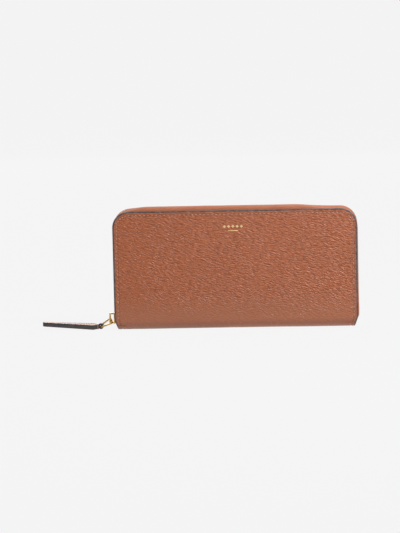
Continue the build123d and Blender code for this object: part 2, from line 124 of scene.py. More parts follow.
def mesh_from(name, vertices, faces, weld=None):
    """Mesh from points and faces, with normals facing out and doubles welded if asked."""
    mesh = bpy.data.meshes.new(name)
    mesh.from_pydata([tuple(v) for v in vertices], [], faces)
    bm = bmesh.new()
    bm.from_mesh(mesh)
    if weld:
        bmesh.ops.remove_doubles(bm, verts=bm.verts, dist=weld)
        bmesh.ops.dissolve_degenerate(bm, edges=bm.edges, dist=weld / 4)
    bmesh.ops.recalc_face_normals(bm, faces=bm.faces)
    bm.to_mesh(mesh)
    bm.free()
    return mesh


def piece_from(name, points, faces, material, smooth_angle=40, weld=None):
    """New object from points and faces."""
    return add_object(name, mesh_from(name, points, faces, weld), material, smooth_angle)


def grid_faces(rows, columns, close_rows=False, close_columns=False, start=0):
    """Quads over a grid of rows x columns points, optionally closed round either way."""
    faces = []
    for r in range(rows if close_rows else rows - 1):
        for c in range(columns if close_columns else columns - 1):
            r2, c2 = (r + 1) % rows, (c + 1) % columns
            faces.append(tuple(start + i * columns + j for i, j in ((r, c), (r, c2), (r2, c2), (r2, c))))
    return faces


def tube_faces(rows, ring):
    """Faces of a tube of rings, with a cap at each end."""
    caps = [tuple(range(ring)), tuple(range((rows - 1) * ring, rows * ring))]
    return grid_faces(rows, ring, close_columns=True) + caps


def project_uv(ob):
    """UVs projected along whichever axis each face looks down."""
    mesh = ob.data
    layer = mesh.uv_layers.new(name="UVMap")
    for polygon in mesh.polygons:
        axis = max(range(3), key=lambda k: abs(polygon.normal[k]))
        a, b = ((1, 2), (0, 2), (0, 1))[axis]
        for loop in polygon.loop_indices:
            co = mesh.vertices[mesh.loops[loop].vertex_index].co
            layer.data[loop].uv = (co[a] / UV_UNIT, co[b] / UV_UNIT)


def point_uv(ob, uvs):
    """UVs from one (u, v) for each vertex."""
    mesh = ob.data
    layer = mesh.uv_layers.new(name="UVMap")
    index = np.zeros(len(mesh.loops), int)
    mesh.loops.foreach_get("vertex_index", index)
    layer.data.foreach_set("uv", np.array(uvs)[index].ravel())


def modifier(ob, kind, **settings):
    """Adds a modifier with its settings."""
    added = ob.modifiers.new(kind.title(), kind)
    for key, value in settings.items():
        setattr(added, key, value)


def finish_piece(ob, body=None, nodes=(), blend=None):
    """Puts a piece on the body it rides on, or bakes its transform when given a blend, and hides the CAD
    nodes it stands for.
    """
    if blend:
        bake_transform(ob)
    else:
        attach(ob, body)
    if nodes:
        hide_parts(*nodes)
    return ob


def from_node(node, material, bevel, segments=3):
    """The CAD node's own shape with rounded edges, riding where the node rides."""
    source = frame["nodes"][node]
    mesh = source.data.copy()
    mesh.materials.clear()
    bm = bmesh.new()
    bm.from_mesh(mesh)
    bmesh.ops.remove_doubles(bm, verts=bm.verts, dist=1e-6)
    bmesh.ops.dissolve_limit(bm, angle_limit=math.radians(1), verts=bm.verts, edges=bm.edges)
    bm.to_mesh(mesh)
    bm.free()
    ob = add_object(f"{node}_made", mesh, material, 35)
    project_uv(ob)
    modifier(ob, "BEVEL", width=bevel, segments=segments, limit_method="ANGLE", angle_limit=math.radians(30))
    return finish_piece(ob, source["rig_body"], [node])


# ---- the rim: the line that a cover's edge, the tape, the chain and the stitches all follow ----
def rim_length(foot=FOLD_Z):
    """Length of the rim from the left foot to the right one."""
    return 2 * (TOP - CORNER - foot + CORNER * math.pi / 2 + REACH)


def rim_at(s, foot=FOLD_Z):
    """Point (x, z) and outward direction (x, z) at distance s along the rim from the left foot."""
    upright = TOP - CORNER - foot
    corner = CORNER * math.pi / 2
    total = rim_length(foot)
    mirror = 1 if s > total / 2 else -1
    s = min(s, total - s)
    if s <= upright:
        x, z, nx, nz = HALF_LENGTH, foot + s, 1.0, 0.0
    elif s <= upright + corner:
        turn = (s - upright) / CORNER
        nx, nz = math.cos(turn), math.sin(turn)
        x, z = REACH + CORNER * nx, TOP - CORNER + CORNER * nz
    else:
        x, z, nx, nz = REACH - (s - upright - corner), TOP, 0.0, 1.0
    return mirror * x, z, mirror * nx, nz


def chain_rise(x, z):
    """Height of the chain's middle above the rim: it sinks a little round the upper corners."""
    high = smooth((z - TOP + CORNER * 1.3) / (6 * MM))
    if x > 0:
        return CHAIN_RISE - CORNER_SINK[1] * high * smooth((x - 48 * MM) / (28 * MM))
    return CHAIN_RISE - CORNER_SINK[0] * high * smooth((-x - 70 * MM) / (10 * MM))


# ---- materials ----
class Shader:
    """A node material, with the Principled shader's own sockets set by name."""

    def __init__(self, name, **inputs):
        self.material = bpy.data.materials.new(name)
        self.material.use_nodes = True
        self.tree = self.material.node_tree
        self.principled = self.tree.nodes["Principled BSDF"]
        for key, value in inputs.items():
            self.principled.inputs[key.replace("_", " ")].default_value = value

    def node(self, kind, links=None, settings=None, **inputs):
        """Adds a node; links maps its inputs to outputs, settings sets its properties."""
        made = self.tree.nodes.new(kind)
        for key, value in (settings or {}).items():
            setattr(made, key, value)
        for key, value in inputs.items():
            made.inputs[key.replace("_", " ")].default_value = value
        for key, output in (links or {}).items():
            self.tree.links.new(output, made.inputs[key])
        return made

    def drive(self, socket, output):
        """Links an output to one of the shader's sockets."""
        self.tree.links.new(output, self.principled.inputs[socket])

    def mapping(self, vector, scale=(1, 1, 1), rotation=(0, 0, 0)):
        """A vector scaled and turned."""
        return self.node("ShaderNodeMapping", {"Vector": vector}, Scale=scale, Rotation=rotation).outputs[0]

    def coordinates(self, source, scale=(1, 1, 1), rotation=(0, 0, 0)):
        """Coordinates from the UV map or the object, scaled and turned."""
        return self.mapping(self.node("ShaderNodeTexCoord").outputs[source], scale, rotation)

    def noise(self, place, scale, detail, **inputs):
        """Soft noise."""
        node = self.node("ShaderNodeTexNoise", {"Vector": place}, Scale=scale, Detail=detail, **inputs)
        return node.outputs["Fac"]

    def cells(self, place, feature, **inputs):
        """Distance within or between Voronoi cells."""
        node = self.node("ShaderNodeTexVoronoi", {"Vector": place}, {"feature": feature}, **inputs)
        return node.outputs["Distance"]

    def bands(self, place, direction, scale, distortion):
        """Wavy parallel bands."""
        node = self.node("ShaderNodeTexWave", {"Vector": place}, {"bands_direction": direction},
                         Scale=scale, Distortion=distortion)
        return node.outputs["Fac"]

    def remap(self, value, to_low, to_high, low=0.0, high=1.0):
        """A value's range stretched to another."""
        node = self.node("ShaderNodeMapRange", {"Value": value},
                         From_Min=low, From_Max=high, To_Min=to_low, To_Max=to_high)
        return node.outputs[0]

    def ramp(self, factor, *stops):
        """Colour ramp over a factor, between two stops of (position, colour)."""
        made = self.node("ShaderNodeValToRGB", {"Fac": factor})
        for element, (position, colour) in zip(made.color_ramp.elements, stops):
            element.position = position
            element.color = (*colour, 1)
        return made.outputs["Color"]

    def math(self, operation, a, b):
        """Maths node on outputs or numbers."""
        made = self.node("ShaderNodeMath", settings={"operation": operation})
        for socket, value in zip(made.inputs, (a, b)):
            if isinstance(value, (int, float)):
                socket.default_value = value
            else:
                self.tree.links.new(value, socket)
        return made.outputs[0]

    def weighted(self, *terms):
        """Sum of (output, weight) pairs."""
        total = None
        for output, weight in terms:
            term = output if weight == 1 else self.math("MULTIPLY", output, weight)
            total = term if total is None else self.math("ADD", total, term)
        return total

    def mix(self, factor, a, b, blend="MIX"):
        """Colour mix of two outputs or colours."""
        made = self.node("ShaderNodeMix", settings={"data_type": "RGBA", "blend_type": blend})
        for socket, value in ((made.inputs[0], factor), (made.inputs[6], a), (made.inputs[7], b)):
            if isinstance(value, (int, float)):
                socket.default_value = value
            elif isinstance(value, tuple):
                socket.default_value = (*value, 1)
            else:
                self.tree.links.new(value, socket)
        return made.outputs[2]

    def bump(self, height, distance):
        """Drives the normal with a bump from a height in metres of distance."""
        node = self.node("ShaderNodeBump", {"Height": height}, Distance=distance, Strength=1.0)
        self.drive("Normal", node.outputs["Normal"])


PAINTED_FLOOR_REFLECTION = (0.37, 0.19, 0.125)          # painted reflection of the pale floor, mixed in paler and bluer round the fold
SMOOTH_TONE = 1.04                       # what the pebbles' height fades to where the leather is stretched
PEBBLE_COUNT = (24, 88, 1)               # pebbles to a unit of the UV map, along and across
PEBBLE_TURN = (0, 0, math.radians(15))
FIELDS = ("grain", "coarse", "groove_and_rim_shade", "floor_reflection")      # what each vertex of the skin tells its material


def pebbled_leather(name, light, dark, worn):
    """Full-grain leather: long wavy pebbles and fine wrinkles, darker in the pebbles' creases, with painted
    shade along the stitch crease and the edges and a painted floor reflection towards the fold.
    """
    s = Shader(name, Roughness=0.5, Specular_IOR_Level=0.55, Sheen_Weight=0.13, Sheen_Roughness=0.4)
    place = s.coordinates("UV")
    field = {key: s.node("ShaderNodeAttribute", settings={"attribute_name": key}).outputs["Fac"]
             for key in FIELDS}
    warp = s.node("ShaderNodeTexNoise", {"Vector": place}, Scale=9.0, Detail=2.0).outputs["Color"]
    bent = s.node("ShaderNodeVectorMath", {0: s.mix(0.032, place, warp, "ADD")}, {"operation": "MULTIPLY"})
    bent.inputs[1].default_value = (1, 1, 0)
    stretched = s.mapping(s.mapping(bent.outputs[0], rotation=PEBBLE_TURN), PEBBLE_COUNT)
    ridge = s.cells(stretched, "DISTANCE_TO_EDGE", Scale=1.0, Randomness=0.6)
    ridge = s.math("MULTIPLY", s.math("MINIMUM", ridge, 0.2), 3.2)
    dome = s.cells(stretched, "SMOOTH_F1", Scale=1.0, Randomness=0.6)
    dome = s.math("MULTIPLY", s.math("SUBTRACT", 0.8, dome), 0.8)
    fine = s.noise(stretched, 2.6, 5.0, Roughness=0.62)
    streaks = s.noise(stretched, 1.15, 2.0, Distortion=0.35)
    pebble = s.weighted((ridge, 0.38), (dome, 0.3), (streaks, 1.9))
    worked = s.math("MULTIPLY", s.math("SUBTRACT", pebble, SMOOTH_TONE), field["coarse"])
    height = s.weighted((s.math("ADD", worked, SMOOTH_TONE), 1), (fine, 0.35))
    s.bump(height, 0.00066)
    tone = s.weighted((height, 0.42), (field["grain"], 0.05))
    shade = s.ramp(tone, (0.37, dark), (0.89, light))
    drift = s.ramp(s.noise(place, 2.0, 3.0), (0.3, (0.95, 0.94, 0.94)), (0.7, (1.0, 1.0, 1.0)))
    shade = s.mix(1.0, shade, drift, "MULTIPLY")
    # painted reflection of the floor: the skin turns paler and bluer towards the fold
    shade = s.mix(s.math("MULTIPLY", field["floor_reflection"], 0.26), shade, PAINTED_FLOOR_REFLECTION)
    # painted shade: the darkest colour is mixed in along the stitch crease and beside the painted edge
    s.drive("Base Color", s.mix(field["groove_and_rim_shade"], shade, worn))
    rough = s.remap(tone, 0.56, 0.38, 0.2, 0.8)
    pulled = s.remap(field["coarse"], 0.72, 1.0, 0.3, 1.0)
    s.drive("Roughness", s.math("MULTIPLY", rough, pulled))
    return s.material


def smooth_leather(name, light, dark, scale=120.0, relief=0.00006, gloss=0.35):
    """Thin smooth leather with faint pores and colour drift."""
    s = Shader(name, Roughness=0.5, Specular_IOR_Level=gloss)
    place = s.coordinates("UV")
    pores = s.cells(place, "F1", Scale=scale)
    cloud = s.noise(place, 6.0, 5.0)
    s.drive("Base Color", s.ramp(cloud, (0.35, dark), (0.65, light)))
    s.bump(s.weighted((pores, 1), (cloud, 1.5)), relief)
    s.drive("Roughness", s.remap(cloud, 0.42, 0.6))
    return s.material


def painted_edge(name, base, worn):
    """Edge paint: dark satin with rubbed highs and slight unevenness."""
    s = Shader(name, Roughness=0.36, Specular_IOR_Level=0.7)
    wear = s.noise(s.coordinates("Object"), 260.0, 4.0)
    s.drive("Base Color", s.ramp(wear, (0.4, base), (0.72, worn)))
    s.bump(wear, 0.00008)
    s.drive("Roughness", s.remap(wear, 0.3, 0.5))
    return s.material


def woven_tape(name, light, dark):
    """Woven zip tape: fine ribs across, threads along."""
    s = Shader(name, Roughness=0.8, Specular_IOR_Level=0.15, Sheen_Weight=0.08, Sheen_Roughness=0.5)
    place = s.coordinates("UV")
    weave = s.math("MULTIPLY", s.bands(place, "X", 62.0, 0.6), s.bands(place, "Y", 48.0, 0.4))
    tone = s.weighted((weave, 0.5), (s.noise(place, 9.0, 3.0), 0.5))
    s.drive("Base Color", s.ramp(tone, (0.15, dark), (0.75, light)))
    s.bump(weave, 0.00009)
    return s.material


def polished_metal(name, base, dark_reflection_and_tarnish, roughness):
    """Plated metal with faint scratches and darker patches of tarnish and painted dark reflection."""
    s = Shader(name, Metallic=1.0, Roughness=roughness)
    cloud = s.noise(s.coordinates("Object"), 420.0, 3.0)
    scratch = s.noise(s.coordinates("Object", (3000, 300, 300)), 1.0, 2.0)
    # darker patches at random: painted dark reflection, with some tarnish
    s.drive("Base Color", s.ramp(cloud, (0.35, base), (0.75, dark_reflection_and_tarnish)))
    s.drive("Roughness", s.remap(scratch, roughness * 0.7, roughness * 1.5))
    s.bump(scratch, 0.000004)
    return s.material


def thread_fibre(name, light, dark):
    """Waxed thread with a visible twist."""
    s = Shader(name, Roughness=0.55, Specular_IOR_Level=0.3)
    twist = s.bands(s.coordinates("Object", rotation=(0, math.radians(38), 0)), "X", 900.0, 0.5)
    s.drive("Base Color", s.ramp(twist, (0.2, dark), (0.7, light)))
    s.bump(twist, 0.00004)
    return s.material


def fibre_board(name, light, dark):
    """Pressed fibre board, seen only on a section."""
    s = Shader(name, Roughness=0.85)
    fibres = s.noise(s.coordinates("Object"), 700.0, 5.0)
    s.drive("Base Color", s.ramp(fibres, (0.35, dark), (0.65, light)))
    s.bump(fibres, 0.00005)
    return s.material


# its last colour is painted shade, used along the stitch crease and beside the painted edge
TAN = pebbled_leather("pebbled tan leather", (0.5, 0.126, 0.031), (0.212, 0.0465, 0.011), (0.12, 0.04, 0.018))
PULL_TAN = smooth_leather(
    "pull leather", (0.43, 0.235, 0.16), (0.35, 0.175, 0.112), relief=0.00009, gloss=0.7)
POCKET_TAN = smooth_leather("pocket leather", (0.36, 0.135, 0.07), (0.29, 0.1, 0.05))
LINING_TAN = smooth_leather("lining leather", (0.46, 0.2, 0.115), (0.4, 0.165, 0.09), scale=180.0)
EDGE = painted_edge("edge paint", (0.026, 0.02, 0.021), (0.115, 0.092, 0.092))
PULL_EDGE = painted_edge("pull edge paint", (0.017, 0.0125, 0.0135), (0.045, 0.034, 0.034))
KEEPER_TAN = painted_edge("keeper leather", (0.2, 0.1, 0.07), (0.26, 0.14, 0.1))
TAPE = woven_tape("woven zip tape", (0.365, 0.135, 0.072), (0.255, 0.084, 0.042))
# the gilt's darker colour stands for painted dark reflections as well as tarnish
GILT = polished_metal("gilt metal", (0.76, 0.52, 0.2), (0.36, 0.21, 0.075), 0.2)
BRASS = polished_metal("brass teeth", (0.86, 0.63, 0.32), (0.72, 0.5, 0.24), 0.24)
FOIL = polished_metal("gold foil", (0.9, 0.7, 0.38), (0.8, 0.56, 0.28), 0.34)
THREAD = thread_fibre("waxed thread", (0.6, 0.3, 0.19), (0.38, 0.16, 0.09))
FIBRE = fibre_board("fibre board", (0.5, 0.43, 0.34), (0.36, 0.3, 0.23))


# ---- outer leather: one skin over both covers and the spine ----
SKIN_PITCH = 0.75 * MM
SKIN_EDGE = 0.5 * MM                     # the leather's own cut edge, under the paint
GROOVE_INSET = 3.2 * MM                  # crease that the stitches lie in
GROOVE_WIDTH = 0.4 * MM
ARC = FOLD_RADIUS * math.pi / 2
FLAT = 2 * FOLD_Y
SPINE_RUN = 2 * ARC + FLAT
PLAIN_GRAIN = 0.8                        # what the pebbles fade to
SPINE_GRAIN = 0.3                        # how much of the pebbles is left on the spine
GRAIN_TURN = math.radians(12)
PEBBLE = (4.8 * MM, 1.8 * MM)            # length and height of a pebble
FRONT_FOLD = ("back_cover", "front_cover", (0, -FOLD_Y, 0), (0, -10.4 * MM, 0))


def spine_at(t):
    """Point (y, z) and normal (y, z) at distance t round the spine's section, from front cover to back."""
    if t <= ARC:
        side, a = FRONT, math.pi + t / FOLD_RADIUS
    elif t <= ARC + FLAT:
        return -FOLD_Y + t - ARC, 0.0, 0.0, -1.0
    else:
        side, a = BACK, 1.5 * math.pi + (t - ARC - FLAT) / FOLD_RADIUS
    ny, nz = math.cos(a), math.sin(a)
    return side * FOLD_Y + FOLD_RADIUS * ny, FOLD_RADIUS * (1 + nz), ny, nz


def taper(x, z):
    """Narrowing of the spine's ends towards the ground."""
    return x * (1 - FOOT_TAPER / HALF_LENGTH * max(0.0, 1 - z / FOLD_Z))


def grain(u, v):
    """Height of the leather's pebbles, 0 in a crease to 1 on a pebble."""
    bend = noise.noise((u / 0.012, v / 0.010, 3.7)) * 0.8
    swirl = noise.noise((u / 0.005, v / 0.004, 9.1)) * 0.35
    c, s = math.cos(GRAIN_TURN), math.sin(GRAIN_TURN)
    a = (u * c - v * s) / PEBBLE[0] + bend + swirl
    b = (u * s + v * c) / PEBBLE[1] + bend * 1.2 - swirl
    near, _ = noise.voronoi((a, b, 0.3), distance_metric="DISTANCE")
    return smooth((near[1] - near[0]) * 2.3)


def skin_depth(u, v, inset, pebble):
    """How far the skin lies below its plain surface."""
    turned_edge = 1.6 * MM
    roll = 0.28 * MM * max(0.0, 1 - inset / turned_edge) ** 2
    groove = 0.34 * MM * bell(inset - GROOVE_INSET, GROOVE_WIDTH)
    pillow = -0.1 * MM * bell(inset - 1.7 * MM, 0.8 * MM)
    wave = 0.16 * MM * noise.noise((u / 0.034, v / 0.027, 1.3))
    near_edge = smooth((inset - 1.0 * MM) / (3.5 * MM))
    return roll + groove + pillow + (wave + 0.02 * MM * (1 - pebble)) * near_edge


def groove_and_rim_shade(inset):
    """How much painted shade darkens the skin: along the stitch crease and next to the painted edge."""
    return min(1.0, 0.6 * bell(inset - GROOVE_INSET, GROOVE_WIDTH) + 0.6 * bell(inset, 1.3 * MM))


def skin_mesh():
    """Points, faces, UVs and material fields of the skin: its outside, and a coarse inside."""
    points, uvs, marks, faces = [], [], [], []

    def add_point(place, uv, mark):
        points.append(place)
        uvs.append(uv)
        marks.append(mark)
        return len(points) - 1

    def put(x, z, side, inset):
        """Vertex on a cover's outer face, with its marks in the order of FIELDS."""
        v = z - FOLD_Z if side == FRONT else -SPINE_RUN - (z - FOLD_Z)
        # closeness to the fold: it smooths the pebbles and sets how much painted floor reflection is mixed in
        stretched = smooth((34 * MM - z) / (26 * MM))
        fade = (1 - 0.7 * stretched) * (1 - 0.3 * smooth((-40 * MM - x) / (50 * MM)))
        pebble = PLAIN_GRAIN + (grain(x, v) - PLAIN_GRAIN) * fade
        place = (x, side * (HALF - skin_depth(x, v, inset, pebble)), z)
        return add_point(place, (x / UV_UNIT, v / UV_UNIT), (pebble, fade, groove_and_rim_shade(inset), stretched))

    uprights = steps(FOLD_Z, TOP - CORNER, SKIN_PITCH)
    reaches = steps(-REACH, REACH, SKIN_PITCH)
    turns = steps(0, math.pi / 2, SKIN_PITCH / CORNER * 1.2)
    feet, borders = {}, {}
    for side in (FRONT, BACK):
        rows = []
        for inset in steps(SKIN_EDGE, CORNER, SKIN_PITCH):
            radius = CORNER - inset
            row = [put(-HALF_LENGTH + inset, z, side, inset) for z in uprights[:-1]]
            for a in turns:
                x, z = REACH + radius * math.cos(a), TOP - CORNER + radius * math.sin(a)
                row.append(put(-x, z, side, inset))
            row += [put(x, TOP - inset, side, inset) for x in reaches[1:-1]]
            for a in reversed(turns):
                x, z = REACH + radius * math.cos(a), TOP - CORNER + radius * math.sin(a)
                row.append(put(x, z, side, inset))
            row += [put(HALF_LENGTH - inset, z, side, inset) for z in reversed(uprights[:-1])]
            rows.append(row)
        for outer, inner in zip(rows, rows[1:]):
            faces += [(outer[c], outer[c + 1], inner[c + 1], inner[c]) for c in range(len(outer) - 1)]
        # middle of the cover, between the innermost row's uprights and top
        last = rows[-1]
        count = len(uprights) - 1
        left, right = last[:count], last[-count:][::-1]
        grid = []
        for r, z in enumerate(uprights[:-1]):
            middle = [put(x, z, side, min(HALF_LENGTH - abs(x), TOP - z)) for x in reaches[1:-1]]
            grid.append([left[r], *middle, right[r]])
        grid.append(last[count + len(turns) - 1:len(last) - count - len(turns) + 1])
        for low, high in zip(grid, grid[1:]):
            faces += [(low[c], high[c], high[c + 1], low[c + 1]) for c in range(len(low) - 1)]
        feet[side] = [row[0] for row in rows[:-1]] + grid[0] + [row[-1] for row in rows[:-1]][::-1]
        borders[side] = rows[0]

    # spine
    belt = [feet[FRONT]]
    inner_steps = steps(0, SPINE_RUN, SKIN_PITCH)[1:-1]
    for t in inner_steps:
        y, z, ny, nz = spine_at(t)
        row = []
        for index in feet[FRONT]:
            x = points[index][0]
            inset = HALF_LENGTH - abs(x)
            pebble = PLAIN_GRAIN + (grain(x, -t) - PLAIN_GRAIN) * SPINE_GRAIN
            depth = skin_depth(x, -t, inset, pebble)
            place = (taper(x, z), y - ny * depth, z - nz * depth)
            mark = (pebble, SPINE_GRAIN, groove_and_rim_shade(inset), 1.0)
            row.append(add_point(place, (x / UV_UNIT, -t / UV_UNIT), mark))
        belt.append(row)
    belt.append(feet[BACK])
    for low, high in zip(belt, belt[1:]):
        faces += [(low[c], low[c + 1], high[c + 1], high[c]) for c in range(len(low) - 1)]

    # inside: the same edge one thickness in, one flat face per cover and long strips round the spine
    def inner_copy(index, ny, nz):
        x, y, z = points[index]
        return add_point((x, y - ny * LEATHER, z - nz * LEATHER), uvs[index], (1.0, SPINE_GRAIN, 0.0, 1.0))

    inside = {}
    for side in (FRONT, BACK):
        border = borders[side]
        inside[side] = [inner_copy(i, side, 0) for i in border]
        faces.append(tuple(inside[side]))
        for c in range(len(border) - 1):
            faces.append((border[c], border[c + 1], inside[side][c + 1], inside[side][c]))
    ends = {LEFT: [inside[FRONT][0]], RIGHT: [inside[FRONT][-1]]}
    for row, t in zip(belt[1:], inner_steps):
        _, _, ny, nz = spine_at(t)
        ends[LEFT].append(inner_copy(row[0], ny, nz))
        ends[RIGHT].append(inner_copy(row[-1], ny, nz))
    ends[LEFT].append(inside[BACK][0])
    ends[RIGHT].append(inside[BACK][-1])
    for r in range(len(belt) - 1):
        faces.append((ends[LEFT][r], ends[RIGHT][r], ends[RIGHT][r + 1], ends[LEFT][r + 1]))
        for end, column in ((LEFT, 0), (RIGHT, -1)):
            faces.append((belt[r][column], belt[r + 1][column], ends[end][r + 1], ends[end][r]))
    return points, faces, uvs, dict(zip(FIELDS, zip(*marks)))


def outer_leather():
    """The wallet's one-piece outside, round both covers and the spine, baked in place."""
    points, faces, uvs, fields = skin_mesh()
    ob = piece_from("outer_leather", points, faces, TAN, 60)
    point_uv(ob, uvs)
    for name, values in fields.items():
        attribute = ob.data.attributes.new(name, "FLOAT", "POINT")
        attribute.data.foreach_set("value", np.array(values, np.float32))
    finish_piece(ob, nodes=("front_leather", "spine_leather", "back_leather"), blend=FRONT_FOLD)


# ---- painted edge: one rounded bead round the whole skin ----
BEAD_REACH = 1.45 * MM
BEAD_PROUD = 0.05 * MM
BEAD_SQUARE = 0.75                       # 1 is a round section, less is squarer


def bead_path():
    """Stations (point, outward, face normal) round the cut edge of the skin."""
    path = []
    count = round(rim_length() / (1.2 * MM))
    for side in (FRONT, BACK):
        order = range(count + 1) if side == FRONT else range(count, -1, -1)
        for i in order:
            x, z, nx, nz = rim_at(i * rim_length() / count)
            path.append((Vector((x, side * HALF, z)), Vector((nx, 0, nz)), Vector((0, side, 0))))
        end = RIGHT if side == FRONT else LEFT
        turns = steps(0, SPINE_RUN, 1.0 * MM)[1:-1]
        for t in turns if side == FRONT else reversed(turns):
            y, z, ny, nz = spine_at(t)
            place = Vector((taper(end * HALF_LENGTH, z), y, z))
            path.append((place, Vector((end, 0, 0)), Vector((0, ny, nz))))
    return path


def edge_bead():
    """Half-round line of dark edge paint."""
    points = []
    ring = 14
    path = bead_path()
    for place, outward, normal in path:
        for k in range(ring):
            a = 2 * math.pi * k / ring
            c, s = math.cos(a), math.sin(a)
            n = -BEAD_REACH / 2 + BEAD_REACH / 2 * math.copysign(abs(c) ** BEAD_SQUARE, c)
            t = LEATHER / 2 + (LEATHER / 2 + BEAD_PROUD) * math.copysign(abs(s) ** BEAD_SQUARE, s)
            rough = 0.035 * MM * noise.noise(place / 0.0021)
            points.append(place + outward * (n + rough) - normal * (t + rough))
    ob = piece_from("edge_paint_bead", points, grid_faces(len(path), ring, True, True), EDGE)
    finish_piece(ob, nodes=("front_edge_paint", "back_edge_paint"), blend=FRONT_FOLD)


# ---- zip tapes ----
TAPE_THICKNESS = 0.45 * MM
TAPE_SEAM = 10.15 * MM                   # depth at which a tape is sewn in, from the middle
TAPE_OUTER = 10.25 * MM                  # depth where it leaves the cover's edge
TAPE_WOVEN_EDGE = 1.0 * MM
ZIP_BEND = ("back_cover", "front_cover", (0, -1.0 * MM, 4.0 * MM), (0, -8.06 * MM, 8.235 * MM))


def thick_line(line, thickness):
    """Closed outline round a polyline of (a, b) points."""
    near, far = [], []
    for i, (a, b) in enumerate(line):
        a1, b1 = line[max(i - 1, 0)]
        a2, b2 = line[min(i + 1, len(line) - 1)]
        length = math.hypot(a2 - a1, b2 - b1)
        na, nb = -(b2 - b1) / length * thickness / 2, (a2 - a1) / length * thickness / 2
        near.append((a + na, b + nb))
        far.append((a - na, b - nb))
    return near + far[::-1]


def tape_crown(side, x, z):
    """How far the tape stands out between the cover's edge and the chain."""
    full = 3.0 * MM if side == FRONT else 2.0 * MM
    over_top = smooth((z - TOP + CORNER * 0.4) / (CORNER * 0.38))
    left = smooth((x + 94 * MM) / (24 * MM))
    right = smooth((86 * MM - x) / (40 * MM))
    beside = 0.12 * MM
    if x > 0:
        low_down = smooth((TOP - 4 * MM - z) / (12 * MM))
        beside = (0.05 + 0.65 * low_down + 0.25 * bell(z - 15 * MM, 6 * MM)) * MM
    return beside + (full - beside) * over_top * left * right


def tape_section(x, z, crown):
    """Middle line (depth, rise) of the tape's section, from its seam out round the edge to the chain."""
    line = [(TAPE_SEAM, -6 * MM), (TAPE_SEAM, -3 * MM), (TAPE_SEAM, -0.8 * MM)]
    start = 0.05 * MM
    for k in range(17):
        u = k / 16
        depth = TAPE_OUTER - u * (TAPE_OUTER - TAPE_WOVEN_EDGE)
        swell = crown * math.sin(math.pi * u ** 0.85) ** 0.72
        line.append((depth, start + swell + (chain_rise(x, z) - start) * smooth(u * 1.1)))
    return line


def chain_side(ob, side, node):
    """The front cover's half of the zip is baked in place; the back cover's half rides with that cover."""
    if side == FRONT:
        finish_piece(ob, nodes=[node], blend=ZIP_BEND)
    else:
        finish_piece(ob, "back_cover", [node])


def zip_tape(side, cover, foot):
    """Woven tape from its seam inside a cover, out round the edge, to the chain in the middle."""
    points, uvs = [], []
    length = rim_length(foot)
    count = round(length / (1.4 * MM))
    for i in range(count + 1):
        s = i * length / count
        x, z, nx, nz = rim_at(s, foot)
        crown = tape_crown(side, x, z) * (1 + 0.07 * noise.noise((s / 0.017, side * 5.0, 0.0)))
        tuck = FOOT_TAPER * max(0.0, 1 - z / FOLD_Z) + 1.6 * MM * smooth((10 * MM - z) / (6 * MM))
        line = tape_section(x, z, crown)
        for y, n in thick_line(line, TAPE_THICKNESS):
            points.append((x + nx * (n - tuck), side * y, z + nz * (n - tuck)))
        run = [0.0]
        for (a1, b1), (a2, b2) in zip(line, line[1:]):
            run.append(run[-1] + math.hypot(a2 - a1, b2 - b1))
        uvs += [(s / UV_UNIT, r / UV_UNIT) for r in run + run[::-1]]
    ring = len(points) // (count + 1)
    ob = piece_from(f"{cover}_tape_sewn", points, tube_faces(count + 1, ring), TAPE, 50)
    point_uv(ob, uvs)
    chain_side(ob, side, f"{cover}_zip_tape")


# ---- zip teeth ----
def rounded_block(size, centre, bevel):
    """Vertices and faces of a block with rounded edges."""
    bm = bmesh.new()
    bmesh.ops.create_cube(bm, size=1.0)
    bmesh.ops.scale(bm, vec=size, verts=bm.verts)
    bmesh.ops.bevel(bm, geom=bm.edges[:], offset=bevel, segments=2, affect="EDGES", profile=0.5)
    bmesh.ops.translate(bm, vec=centre, verts=bm.verts)
    bm.verts.index_update()
    points = [v.co.copy() for v in bm.verts]
    faces = [tuple(v.index for v in f.verts) for f in bm.faces]
    bm.free()
    return points, faces


def joined(blocks):
    """One list of points and faces from several."""
    points, faces = [], []
    for block_points, block_faces in blocks:
        start = len(points)
        points += block_points
        faces += [tuple(start + i for i in f) for f in block_faces]
    return points, faces


def tooth_row(name, places, side, head, legs):
    """Row of cast teeth; places are (point, along, outward), head and legs the blocks of one tooth."""
    blocks = []
    for place, along, outward in places:
        turn = Matrix((along, Vector((0, side, 0)), outward)).transposed()
        for points, faces in (head, legs):
            blocks.append(([place + turn @ p for p in points], faces))
    return piece_from(name, *joined(blocks), BRASS, 50)


def main_teeth(side, cover):
    """Teeth of one side of the main chain, reaching over the middle between the other side's."""
    head = rounded_block((0.95 * MM, 1.7 * MM, 1.35 * MM), (0, 0.5 * MM, 0), 0.28 * MM)
    legs = rounded_block((1.4 * MM, 1.25 * MM, 1.75 * MM), (0, 1.6 * MM, 0), 0.3 * MM)
    pitch = 2.4 * MM
    foot = 6.4 * MM
    slider_top = 14.2 * MM
    places = []
    for i in range(int(rim_length(foot) / pitch)):
        x, z, nx, nz = rim_at((i + (0.25 if side == FRONT else 0.75)) * pitch, foot)
        if side == FRONT and x < 0 and z < slider_top:
            continue                     # the parked slider keeps only the back cover's teeth
        outward = Vector((nx, 0, nz))
        sink = 0.6 * FOOT_TAPER * max(0.0, 1 - z / FOLD_Z)
        place = Vector((x, 0, z)) + outward * (chain_rise(x, z) - sink)
        places.append((place, Vector((nz, 0, -nx)), outward))
    ob = tooth_row(f"{cover}_teeth_row", places, side, head, legs)
    chain_side(ob, side, f"{cover}_zip_teeth")


